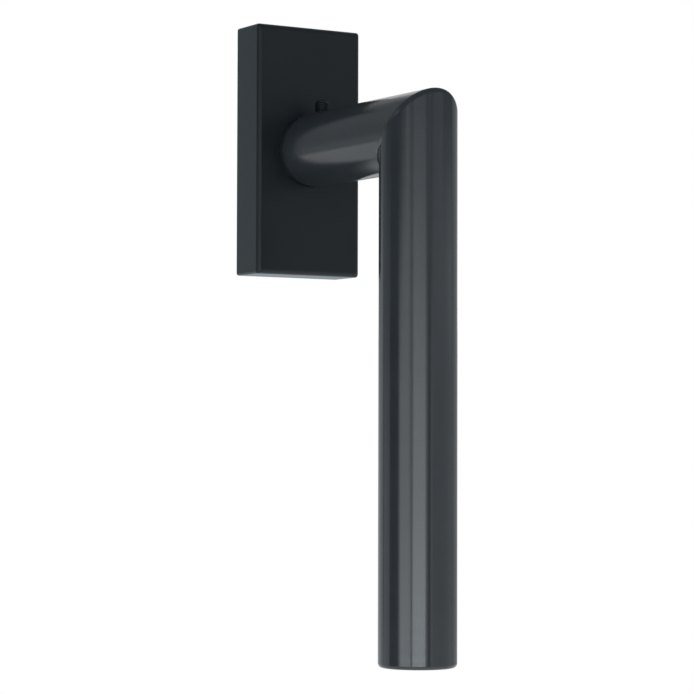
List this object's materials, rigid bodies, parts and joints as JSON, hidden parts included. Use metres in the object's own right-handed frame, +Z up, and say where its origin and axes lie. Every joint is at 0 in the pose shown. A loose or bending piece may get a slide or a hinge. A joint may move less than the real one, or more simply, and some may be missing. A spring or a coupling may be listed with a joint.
{
  "type": "window handle",
  "caption": "Tilt-and-turn window handle: an L-shaped lever of mitred round tube that turns with a click on a slim rectangular rosette and drives a square spindle.",
  "frame": {"origin": "on the spindle's axis at the back of the rosette, which is the face of the window sash", "axes": "+Y into the sash along the spindle, -Y to the room, +Z up, +X to the right seen from the room; at rest the grip hangs down along -Z"},
  "size_m": [0.032, 0.093, 0.1693],
  "materials": {
    "blackened_steel": "semi-gloss black lacquer over finely brushed steel tube",
    "coated_steel": "satin black coating on drawn sheet steel",
    "zinc_casting": "bare die-cast zinc, dull grey",
    "spring_steel": "rolled spring steel",
    "black_nylon": "moulded black nylon",
    "zinc_plated_steel": "bright zinc plating",
    "turned_steel": "turned, fine tool marks",
    "black_oxide_steel": "black oxide"
  },
  "bodies": {
    "rosette": {"rosette_cover": "coated_steel", "base_plate": "zinc_casting", "cover_clips": "spring_steel", "collar_bush": "black_nylon", "detent_spring_left": "spring_steel", "detent_spring_right": "spring_steel", "retainer_plate": "zinc_plated_steel", "retainer_rivets": "zinc_plated_steel", "mounting_screws": "zinc_plated_steel"},
    "lever": {"neck_tube": "blackened_steel", "grip_tube": "blackened_steel", "grip_end_plug": "blackened_steel", "neck_insert": "turned_steel", "spindle": "zinc_plated_steel", "detent_rotor": "turned_steel", "spindle_pin": "zinc_plated_steel", "thrust_washer": "black_nylon", "spring_washer": "spring_steel", "glide_ring": "black_nylon"},
    "grub_screw": {"grub_screw": "black_oxide_steel"}
  },
  "joints": [
    {"name": "lever_turn", "type": "hinge", "parent": "rosette", "child": "lever", "pos_m": [0, 0, 0], "axis": [0, 1, 0], "range_deg": [-180, 180], "deforming": ["detent_spring_left", "detent_spring_right"]},
    {"name": "grub_screw_travel", "type": "slide", "parent": "lever", "child": "grub_screw", "axis": [0, 0, 1], "range_m": [-0.0034, 0]}
  ]
}
